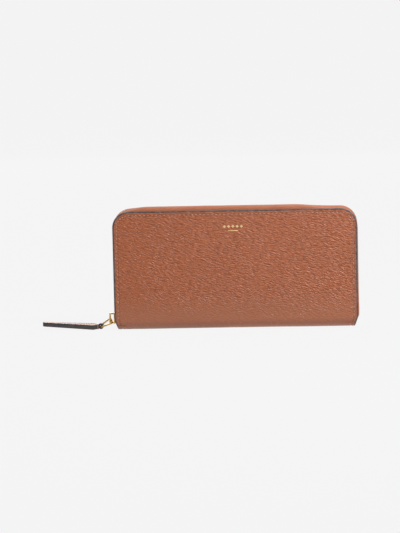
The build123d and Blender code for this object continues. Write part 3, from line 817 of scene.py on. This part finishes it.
# ---- stitches ----
def stitch_row(name, places, length=2.3 * MM, width=0.5 * MM, rise=0.22 * MM):
    """Stitches as plump strands: places are (point, along, outward)."""
    around, rings = 8, 7
    blocks = []
    for index, (place, along, outward) in enumerate(places):
        across = along.cross(outward)
        lean = 0.07 * MM * (1 if index % 2 else -1)
        points = []
        for r in range(rings):
            t = r / (rings - 1)
            fat = max(0.12, math.sin(math.pi * t) ** 0.45)
            arch = math.sin(math.pi * t) ** 0.6
            centre = place + along * (t - 0.5) * length + outward * (rise * arch - rise * 0.45)
            centre = centre + across * lean * (2 * t - 1)
            for k in range(around):
                a = 2 * math.pi * k / around
                offset = across * math.cos(a) * width / 2 + outward * math.sin(a) * width / 2 * 0.85
                points.append(centre + offset * fat)
        blocks.append((points, tube_faces(rings, around)))
    return piece_from(name, *joined(blocks), THREAD, 60)


def cover_stitching(side, cover):
    """Stitches sunk in the crease round a cover."""
    count = int(rim_length() / (3.2 * MM))
    places = []
    for i in range(count):
        x, z, nx, nz = rim_at((i + 0.5) * rim_length() / count)
        place = Vector((x - nx * GROOVE_INSET, side * (HALF - 0.16 * MM), z - nz * GROOVE_INSET))
        places.append((place, Vector((nz, 0, -nx)), Vector((0, side, 0))))
    finish_piece(stitch_row(f"{cover}_stitches", places), f"{cover}_cover", [f"{cover}_stitching"])


outer_leather()
edge_bead()
for side, cover, foot in ((FRONT, "front", 3.0 * MM), (BACK, "back", 2.5 * MM)):
    zip_tape(side, cover, foot)
    main_teeth(side, cover)
    cover_stitching(side, cover)

# ---- foil mark: the row of lozenges pressed into the leather ----
from_node("foil_mark", FOIL, 0.04 * MM, 1)


# ---- link ----
EYE_X = -109.4 * MM
EYE_Z = 2.25 * MM
LINK_WIRE = 1.35 * MM
LINK_TOP = Vector((-100.725 * MM, 0, 6.6 * MM))
LINK_TWIST = (7, 34)                     # degrees at the eye and at the bridge


def rounded_loop(half_a, half_b, corner, arc_steps):
    """Points (a, b) round a rectangle with round corners."""
    points = []
    for quarter, (sa, sb) in enumerate(((1, 1), (-1, 1), (-1, -1), (1, -1))):
        for k in range(arc_steps + 1):
            a = math.pi / 2 * (quarter + k / arc_steps)
            points.append((sa * (half_a - corner) + corner * math.cos(a),
                           sb * (half_b - corner) + corner * math.sin(a)))
    return points


def pull_link():
    """Bent round wire, twisted a little where it lies."""
    eye = Vector((EYE_X, 0, EYE_Z))
    reach = (LINK_TOP - eye).length
    along = (LINK_TOP - eye).normalized()
    line = []
    for a, b in rounded_loop(reach / 2, 3.3 * MM, 1.6 * MM, 9):
        twist = math.radians(LINK_TWIST[0] + (LINK_TWIST[1] - LINK_TWIST[0]) * (a / reach + 0.5))
        across = Matrix.Rotation(twist, 3, along) @ Vector((0, 1, 0))
        line.append((LINK_TOP + eye) / 2 + along * a + across * b)
    points = []
    count, around = len(line), 12
    plane = (line[1] - line[0]).cross(line[count // 3] - line[0]).normalized()
    for i, place in enumerate(line):
        out = (line[(i + 1) % count] - line[i - 1]).normalized().cross(plane)
        for k in range(around):
            a = 2 * math.pi * k / around
            points.append(place + (out * math.cos(a) + plane * math.sin(a)) * (LINK_WIRE / 2))
    ob = piece_from("pull_link_wire", points, grid_faces(count, around, True, True), GILT, 60)
    finish_piece(ob, "pull_link", ["pull_link"])


# ---- pull strap: two plies folded round the link ----
paint_low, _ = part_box("pull_edge_paint")
STRAP_END = paint_low.x
STRAP_HALF = abs(paint_low.y)
STRAP_THICK = 3.6 * MM
STRAP_LIFT = 2.9 * MM                    # how far the free end lifts off the ground
STRAP_ROLL = 0.11                        # how much more it lifts towards the front, to a unit of width
TIP_ROUND = 1.2 * MM
RING_X, RING_Z = EYE_X - 0.15 * MM, EYE_Z + 0.1 * MM
RING_RADIUS = 2.35 * MM
RING_HOLE = 0.8 * MM
NECK_HALF = 2.2 * MM
NECK_X = RING_X - 2.4 * MM
SHOULDER_X = -112.8 * MM
FULL_X = SHOULDER_X - 2.5 * MM
STATIONS = (NECK_X, SHOULDER_X, FULL_X, STRAP_END + TIP_ROUND, STRAP_END + 0.02 * MM)


def strap_lift(x, y):
    """Height of the strap's underside, which lifts towards the free end and rolls a little forward."""
    t = (NECK_X - x) / (NECK_X - STRAP_END)
    return (STRAP_LIFT - STRAP_ROLL * y) * max(0.0, (t - 0.3) / 0.7) ** 2


def strap_squeeze(x):
    """How much thinner the strap is towards its free end."""
    return 1 - 0.12 * smooth((STRAP_END + 5 * MM - x) / (5 * MM))


def strap_half_width(x):
    """Half the strap's width, from the neck's to the full width, and less at the rounded tip."""
    half = NECK_HALF + (STRAP_HALF - NECK_HALF) * smooth((SHOULDER_X - x) / (SHOULDER_X - FULL_X))
    past = max(0.0, (STRAP_END + TIP_ROUND - x) / TIP_ROUND)
    return half - 0.9 * MM * (1 - math.sqrt(max(0.0, 1 - past ** 2)))


def strap_body():
    """The plies: a domed top with a crease for the stitches, and a flat underside."""
    across = 15
    rows = len(STATIONS)
    trim = 0.25 * MM                     # left to the painted sides
    tops, bottoms = [], []
    for x in STATIONS:
        half = strap_half_width(x)
        for k in range(across):
            v = 2 * k / (across - 1) - 1
            dome = 0.42 * MM * (1 - abs(v) ** 3)
            crease = 0.22 * MM * bell(abs(v) * half - (half - 1.7 * MM), 0.4 * MM)
            crease *= smooth((SHOULDER_X - x) / (3 * MM))
            wave = 0.07 * MM * noise.noise((x / 0.004, v * half / 0.003, 2.0))
            lift = strap_lift(x, v * half)
            top = lift + (STRAP_THICK - trim) * strap_squeeze(x) + dome - crease + wave
            tops.append((x, v * (half - trim), top))
            bottoms.append((x, v * (half - trim), lift + 0.05 * MM + 0.1 * MM * abs(v) ** 6))
    below = rows * across
    faces = grid_faces(rows, across) + [f[::-1] for f in grid_faces(rows, across, start=below)]
    for r in range(rows - 1):
        for c in (0, across - 1):
            a, b = r * across + c, (r + 1) * across + c
            faces.append((a, b, b + below, a + below))
    for c in range(across - 1):
        for r in (0, rows - 1):
            a = r * across + c
            faces.append((a, a + 1, a + 1 + below, a + below))
    ob = piece_from("pull_strap_leather", tops + bottoms, faces, PULL_TAN, 50)
    project_uv(ob)
    finish_piece(ob, "pull", ["pull_strap"])


def strap_eye():
    """The ring where both plies wrap round the link's bar, painted on its faces."""
    points = []
    turns = 40
    section = rounded_loop((RING_RADIUS - RING_HOLE) / 2, NECK_HALF, 0.35 * MM, 3)
    for i in range(turns):
        a = 2 * math.pi * i / turns
        out = Vector((math.cos(a), 0, math.sin(a)))
        for radial, side in section:
            reach = (RING_RADIUS + RING_HOLE) / 2 + radial
            points.append(Vector((RING_X, 0, RING_Z)) + out * reach + Vector((0, side, 0)))
    ob = piece_from("pull_eye", points, grid_faces(turns, len(section), True, True), PULL_EDGE)
    ob.data.materials.append(PULL_TAN)
    for polygon in ob.data.polygons:
        polygon.material_index = 0 if abs(polygon.normal.y) > 0.6 else 1
    project_uv(ob)
    finish_piece(ob, "pull", ["pull_strap"])


def strap_paint():
    """A bead of paint round the strap's sides, from one shoulder round the free end to the other."""
    side_line = [(x, strap_half_width(x)) for x in STATIONS if x <= SHOULDER_X + 1.8 * MM]
    outline = side_line + [(STRAP_END, side_line[-1][1] * (1 - k / 6)) for k in range(1, 12)]
    outline += [(x, -w) for x, w in side_line[::-1]]
    profile = rounded_loop(0.36 * MM, STRAP_THICK / 2 + 0.1 * MM, 0.34 * MM, 4)
    points = []
    for i, (x, w) in enumerate(outline):
        x1, w1 = outline[max(i - 1, 0)]
        x2, w2 = outline[min(i + 1, len(outline) - 1)]
        tangent = Vector((x2 - x1, w2 - w1, 0)).normalized()
        out = Vector((-tangent.y, tangent.x, 0))
        if out.dot(Vector((x - (SHOULDER_X + STRAP_END) / 2, w * 4, 0))) < 0:
            out = -out
        for a, b in profile:
            rough = 0.03 * MM * noise.noise((x / 0.0019, w / 0.0019, b / 0.002))
            height = strap_lift(x, w) + (STRAP_THICK / 2 + b) * strap_squeeze(x) + 0.05 * MM
            points.append(Vector((x, w, 0)) + out * (a - 0.3 * MM + rough) + Vector((0, 0, height)))
    faces = tube_faces(len(outline), len(profile))
    ob = piece_from("pull_painted_side", points, faces, PULL_EDGE, 60)
    finish_piece(ob, "pull", ["pull_edge_paint"])


def strap_keeper():
    """A narrow leather loop over the neck."""
    low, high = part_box("pull_keeper")
    profile = rounded_loop((high.x - low.x) / 2, 0.3 * MM, 0.25 * MM, 3)
    line = rounded_loop(NECK_HALF + 0.28 * MM, 1.72 * MM, 0.8 * MM, 4)
    middle = Vector(((low.x + high.x) / 2, 0, 1.75 * MM))
    points = []
    for i, (a, b) in enumerate(line):
        a1, b1 = line[i - 1]
        a2, b2 = line[(i + 1) % len(line)]
        tangent = Vector((0, a2 - a1, b2 - b1)).normalized()
        out = Vector((0, tangent.z, -tangent.y))
        for p, q in profile:
            points.append(middle + Vector((p, a, b + 0.05 * MM)) + out * q)
    ob = piece_from("pull_keeper_loop", points, grid_faces(len(line), len(profile), True, True), KEEPER_TAN)
    finish_piece(ob, "pull", ["pull_keeper"])


def strap_stitches():
    """Stitches along both sides of the strap."""
    places = []
    for side in (-1, 1):
        x = FULL_X - 0.9 * MM
        y = side * (STRAP_HALF - 1.75 * MM)
        while x > STRAP_END + 2.2 * MM:
            place = Vector((x, y, strap_lift(x, y) + STRAP_THICK - 0.14 * MM))
            places.append((place, Vector((1, 0, 0)), Vector((0, 0, 1))))
            x -= 3.2 * MM
    row = stitch_row("pull_stitches", places, 2.2 * MM, 0.45 * MM, 0.18 * MM)
    finish_piece(row, "pull", ["pull_stitching"])


pull_link()
strap_body()
strap_eye()
strap_paint()
strap_keeper()
strap_stitches()


# ---- sliders, tab and stops: the CAD's own shapes with rounded edges ----
STOP_TUCK = 1.6 * MM                     # how far in the main stops lie, as the covers narrow to the ground
BRIDGE_FAT = 0.22 * MM                   # how much fuller the main bridge is
EDGE_ROUND = {
    "zip_slider_body": 0.22, "zip_slider_bridge": 0.28, "zip_end_stop": 0.3, "zip_start_stop": 0.3,
    "coin_slider_body": 0.15, "coin_slider_bridge": 0.2, "coin_pull_tab": 0.2,
    "coin_zip_closed_stop": 0.2, "coin_zip_open_stop": 0.2,
}
for node, bevel in EDGE_ROUND.items():
    piece = from_node(node, GILT, bevel * MM)
    if node == "zip_slider_bridge":
        modifier(piece, "DISPLACE", strength=BRIDGE_FAT, mid_level=0.0)
    if node in ("zip_end_stop", "zip_start_stop"):
        inwards = STOP_TUCK if node == "zip_end_stop" else -STOP_TUCK
        piece.data.transform(Matrix.Translation((inwards, 0, 0)))


# ---- inside: linings, panels, card pockets, gussets and the coin pocket ----
SHEET_COLUMNS = 86
SHEET_ROWS = 30
INSIDE_PITCH = 2.6 * MM                  # of the pockets' stitches


def soft_sheet(name, low, high, bulge, thickness):
    """Upright leather sheet between two corners, pushed out by bulge(u, v) towards the middle."""
    side = 1 if low[1] > 0 else -1
    points = []
    for r in range(SHEET_ROWS + 1):
        v = r / SHEET_ROWS
        for c in range(SHEET_COLUMNS + 1):
            u = c / SHEET_COLUMNS
            x, z = low[0] + (high[0] - low[0]) * u, low[2] + (high[2] - low[2]) * v
            points.append((x, low[1] - side * bulge(u, v), z))
    ob = piece_from(name, points, grid_faces(SHEET_ROWS + 1, SHEET_COLUMNS + 1), POCKET_TAN, 50)
    project_uv(ob)
    modifier(ob, "SOLIDIFY", thickness=thickness, offset=0.0)
    modifier(ob, "BEVEL", width=thickness * 0.35, segments=2, limit_method="ANGLE")
    return ob


def rolled_hem(name, low, high, face_at):
    """Rolled edge along the top of a panel, whose face lies at face_at(u)."""
    side = 1 if low.y > 0 else -1
    line = [(-0.1 * MM, -3 * MM), (0.2 * MM, -2.8 * MM), (0.3 * MM, -1.5 * MM), (0.22 * MM, 0.1 * MM)]
    section = thick_line(line, 0.34 * MM)
    points = []
    for c in range(SHEET_COLUMNS + 1):
        u = c / SHEET_COLUMNS
        for a, b in section:
            points.append((low.x + (high.x - low.x) * u, face_at(u) - side * a, high.z + b))
    ob = piece_from(name, points, tube_faces(SHEET_COLUMNS + 1, len(section)), POCKET_TAN, 50)
    project_uv(ob)
    return ob


def panel_stitches(low, high, middle, bulge, outermost):
    """Places of the stitches under a panel's hem and, on the outermost pocket, down its three seams."""
    side = 1 if middle > 0 else -1
    out = Vector((0, -side, 0))
    length, height = high.x - low.x, high.z - low.z
    places = []
    for c in range(int((length - 4 * MM) / INSIDE_PITCH)):
        x = low.x + 3 * MM + c * INSIDE_PITCH
        y = middle - side * (bulge((x - low.x) / length, 1.0) + 0.8 * MM)
        places.append((Vector((x, y, high.z - 2.2 * MM)), Vector((1, 0, 0)), out))
    if outermost:
        for c in range(int((height - 4 * MM) / INSIDE_PITCH)):
            z = low.z + 2 * MM + c * INSIDE_PITCH
            for x in (low.x + 1.6 * MM, 0.0, high.x - 1.6 * MM):
                y = middle - side * (bulge((x - low.x) / length, (z - low.z) / height) + 0.24 * MM)
                places.append((Vector((x, y, z)), Vector((0, 0, 1)), out))
    return places


def inside_panels(side, cover):
    """Slip panel and four stepped pockets, each with a turned top edge and its row of stitches."""
    body = f"{cover}_cover"
    parts = ["slip_panel"] + [f"card_pocket_{i}" for i in range(1, 5)]
    for index, part in enumerate(parts):
        node = f"{cover}_{part}"
        low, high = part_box(node)
        middle = (low.y + high.y) / 2

        def bulge(u, v, index=index):
            """Slack of the pocket between its side seams and the middle seam."""
            if index == 0:
                return 0.0
            slack = abs(math.sin(2 * math.pi * u)) ** 0.7 * smooth((v - 0.2) / 0.8)
            return 0.05 * MM * index + 0.5 * MM * slack + 0.04 * MM * noise.noise((u * 9, v * 4, index * 2.0))

        def face_at(u, middle=middle, bulge=bulge):
            """Depth of the panel's face along its top."""
            return middle - side * (bulge(u, 1.0) + 0.3 * MM)

        sheet = soft_sheet(
            f"{node}_sheet", (low.x, middle, low.z), (high.x, middle, high.z), bulge, high.y - low.y)
        finish_piece(sheet, body, [node])
        finish_piece(rolled_hem(f"{node}_hem", low, high, face_at), body)
        places = panel_stitches(low, high, middle, bulge, index == len(parts) - 1)
        row = stitch_row(f"{node}_stitches", places, 1.8 * MM, 0.35 * MM, 0.12 * MM)
        finish_piece(row, body)


GUSSET_EDGE = 89.6 * MM                  # where a gusset is sewn, and where its pleat reaches inwards
GUSSET_FOLD = 85.2 * MM
GUSSET_NEAR = 2.9 * MM                   # from the coin pocket to the cover's lining
GUSSET_FAR = 8.95 * MM
GUSSET_HEM = 1.2 * MM                    # sewn edge, outwards from the pleat


def gusset(end, end_name, side, wall):
    """Pleated side wall of a note compartment."""
    node = f"{end_name}_{wall}_gusset"
    low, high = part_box(node)
    edge_x, fold_x = end * GUSSET_EDGE, end * GUSSET_FOLD
    near, far = side * GUSSET_NEAR, side * GUSSET_FAR
    columns, rows = 20, 44
    points = []
    for r in range(rows + 1):
        z = low.z + (high.z - low.z) * r / rows
        points.append((edge_x + end * GUSSET_HEM, near, z))
        for c in range(columns + 1):
            u = c / columns
            fold = 1 - abs(2 * u - 1)
            depth = smooth(fold) * 0.6 + fold * 0.4
            sag = 0.25 * MM * noise.noise((u * 3, z / 0.02, side * 4.0 + end))
            points.append((edge_x + (fold_x - edge_x) * depth + sag * fold, near + (far - near) * u, z))
        points.append((edge_x + end * GUSSET_HEM, far, z))
    ob = piece_from(f"{node}_pleat", points, grid_faces(rows + 1, columns + 3), LINING_TAN, 60)
    project_uv(ob)
    modifier(ob, "SOLIDIFY", thickness=0.4 * MM, offset=0.0)
    if side == FRONT:
        bend = ("back_cover", "front_cover", (0, far - 2 * (far - near), 0), (0, far, 0))
    else:
        bend = ("back_cover", "coin_pocket", (0, far, 0), (0, near, 0))
    finish_piece(ob, nodes=[node], blend=bend)


def coin_bag():
    """Coin pocket: a soft folded bag."""
    low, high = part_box("coin_pocket_bag")
    wall = 0.6 * MM
    columns, rows = 80, 30
    profile = [(FRONT, 1 - r / rows) for r in range(rows + 1)] + [(BACK, r / rows) for r in range(rows + 1)]
    points = []
    for c in range(columns + 1):
        u = c / columns
        x = low.x + (high.x - low.x) * u
        fullness = min(1.0, math.sin(math.pi * u) * 3.2) ** 0.6
        outer, inner = [], []
        for side, v in profile:
            z = low.z + (high.z - low.z) * v
            slack = 0.15 * MM * noise.noise((u * 8, v * 3, side))
            puff = 0.55 * MM * fullness * math.sin(math.pi * min(1.0, v * 1.02)) + slack
            foot = 1 - (1 - smooth(v / 0.06)) * 0.7
            y = side * (abs(low.y) * foot + puff * smooth(v * 6) * smooth((1 - v) * 8))
            outer.append((x, y, z))
            inner.append((x, y - side * wall, max(z, low.z + wall)))
        points += outer + inner[::-1]
    faces = tube_faces(columns + 1, len(points) // (columns + 1))
    ob = piece_from("coin_bag", points, faces, POCKET_TAN, 50, weld=0.02 * MM)
    project_uv(ob)
    finish_piece(ob, "coin_pocket", ["coin_pocket_bag"])


def coin_bag_seams():
    """Stitches down both ends of the coin pocket."""
    low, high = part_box("coin_pocket_bag")
    places = []
    for end in (LEFT, RIGHT):
        for side in (FRONT, BACK):
            z = low.z + 4 * MM
            while z < high.z - 3 * MM:
                place = Vector((end * (high.x - 1.8 * MM), side * (high.y + 0.12 * MM), z))
                places.append((place, Vector((0, 0, 1)), Vector((0, side, 0))))
                z += 2.8 * MM
    row = stitch_row("coin_bag_stitches", places, 1.9 * MM, 0.4 * MM, 0.14 * MM)
    finish_piece(row, "coin_pocket")


def coin_teeth(side, wall):
    """Teeth of one side of the coin zip."""
    node = f"coin_zip_{wall}_teeth"
    low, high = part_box(node)
    pitch = 1.8 * MM
    head = rounded_block((0.75 * MM, 1.15 * MM, 1.05 * MM), (0, 0.3 * MM, 0), 0.22 * MM)
    legs = rounded_block((1.05 * MM, 0.75 * MM, 1.35 * MM), (0, 0.95 * MM, 0), 0.24 * MM)
    places = []
    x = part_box("coin_zip_closed_stop")[1].x + 0.9 * MM + (0 if side == FRONT else pitch / 2)
    while x < high.x - 0.3 * MM:
        places.append((Vector((x, 0, (low.z + high.z) / 2)), Vector((1, 0, 0)), Vector((0, 0, 1))))
        x += pitch
    ob = tooth_row(f"coin_{wall}_teeth_row", places, side, head, legs)
    finish_piece(ob, "coin_pocket", [node])


def spine_inside():
    """Lining of the spine."""
    low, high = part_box("spine_lining")
    thickness = 0.8 * MM
    radius = FOLD_RADIUS - 1.6 * MM - thickness / 2
    columns = 60
    rows = []
    for side, start in ((FRONT, math.pi), (BACK, 1.5 * math.pi)):
        for a in steps(start, start + math.pi / 2, 0.1):
            rows.append((side * FOLD_Y + radius * math.cos(a), FOLD_Z + radius * math.sin(a)))
    points = []
    for y, z in rows:
        for c in range(columns + 1):
            x = low.x + (high.x - low.x) * c / columns
            points.append((taper(x, z), y, z + 0.12 * MM * noise.noise((x / 0.015, y / 0.004, 0.7))))
    ob = piece_from("spine_lining_strip", points, grid_faces(len(rows), columns + 1), LINING_TAN, 60)
    project_uv(ob)
    modifier(ob, "SOLIDIFY", thickness=thickness, offset=0.0)
    bend = ("back_cover", "front_cover", (0, -FOLD_Y, 0), (0, -9.0 * MM, 0))
    finish_piece(ob, nodes=["spine_lining"], blend=bend)


for side, cover in ((FRONT, "front"), (BACK, "back")):
    inside_panels(side, cover)
    from_node(f"{cover}_lining", LINING_TAN, 0.25 * MM)
    from_node(f"{cover}_board", FIBRE, 0.1 * MM, 1)
    coin_teeth(side, cover)
    from_node(f"coin_zip_{cover}_tape", TAPE, 0.12 * MM, 2)
    for end, end_name in ((LEFT, "left"), (RIGHT, "right")):
        gusset(end, end_name, side, cover)
coin_bag()
coin_bag_seams()
spine_inside()
from_node("spine_reinforcement", FIBRE, 0.1 * MM, 1)
for end_name in ("left", "right"):
    from_node(f"coin_pocket_{end_name}_seam", POCKET_TAN, 0.3 * MM)


# ---- floor, light and camera ----
FLOOR_HALF = 80.0
FLOOR_GLOW = 0.893                       # the floor's own light keeps it as pale as a studio's background
FLOOR_DIFFUSE = 0.01
CAMERA_AIM = Vector((-28.1, -11.5, 50.7)) * MM
CAMERA_DISTANCE = 2.2
PIXELS_PER_METRE = 1251.0
FRAME_WIDTH = 400
SENSOR = 36.0


def floor():
    """Large pale floor, nearly the same tone as the background."""
    h = FLOOR_HALF
    material = bpy.data.materials.new("pale floor")
    material.use_nodes = True
    tree = material.node_tree
    tree.nodes.clear()
    out = tree.nodes.new("ShaderNodeOutputMaterial")
    glow = tree.nodes.new("ShaderNodeEmission")
    glow.inputs["Color"].default_value = (1, 1, 1, 1)
    glow.inputs["Strength"].default_value = FLOOR_GLOW
    plain = tree.nodes.new("ShaderNodeBsdfDiffuse")
    plain.inputs["Color"].default_value = (FLOOR_DIFFUSE, FLOOR_DIFFUSE, FLOOR_DIFFUSE, 1)
    both = tree.nodes.new("ShaderNodeAddShader")
    tree.links.new(glow.outputs[0], both.inputs[0])
    tree.links.new(plain.outputs[0], both.inputs[1])
    tree.links.new(both.outputs[0], out.inputs["Surface"])
    corners = [(-h, -h, 0), (h, -h, 0), (h, h, 0), (-h, h, 0)]
    piece_from("floor", corners, [(0, 1, 2, 3)], material)


def area_light(name, place, target, size, power):
    """Soft white rectangular light aimed at a point."""
    data = bpy.data.lights.new(name, "AREA")
    data.shape = "RECTANGLE"
    data.size, data.size_y = size
    data.energy = power
    ob = bpy.data.objects.new(name, data)
    bpy.context.scene.collection.objects.link(ob)
    ob.location = place
    ob.rotation_euler = (Vector(target) - Vector(place)).to_track_quat("-Z", "Y").to_euler()
    ob.visible_camera = False


def world(strength):
    """Even white light from all round."""
    made = bpy.data.worlds.new("studio")
    made.use_nodes = True
    background = made.node_tree.nodes["Background"]
    background.inputs["Color"].default_value = (1, 1, 1, 1)
    background.inputs["Strength"].default_value = strength
    bpy.context.scene.world = made


def camera(azimuth, elevation, roll):
    """Very long lens towards the front cover."""
    data = bpy.data.cameras.new("camera")
    data.sensor_fit = "HORIZONTAL"
    data.sensor_width = SENSOR
    data.lens = PIXELS_PER_METRE * CAMERA_DISTANCE * SENSOR / FRAME_WIDTH
    data.clip_end = 200
    ob = bpy.data.objects.new("camera", data)
    bpy.context.scene.collection.objects.link(ob)
    a, e = math.radians(azimuth), math.radians(elevation)
    direction = Vector((math.sin(a) * math.cos(e), -math.cos(a) * math.cos(e), math.sin(e)))
    ob.location = CAMERA_AIM + direction * CAMERA_DISTANCE
    look = (-direction).to_track_quat("-Z", "Y").to_matrix()
    ob.rotation_euler = (look @ Matrix.Rotation(math.radians(-roll), 3, "Z")).to_euler()
    bpy.context.scene.camera = ob


floor()
world(0.35)
area_light("key", (0.52, -0.37, 0.68), (0, 0, 0.05), (0.28, 0.2), 9.3)
area_light("overhead", (0.1, 0.1, 1.3), (0, 0, 0.05), (1.0, 0.6), 8.5)
area_light("behind", (-0.6, 1.3, 1.2), (0, 0, 0.05), (1.0, 0.7), 16)
area_light("backdrop", (0.0, 1.7, 0.3), (0, 0, 0.1), (2.4, 0.4), 11)
camera(2.5, 7.0, 1.25)
bpy.context.scene.view_settings.view_transform = "Standard"
bpy.context.scene.view_settings.look = "None"
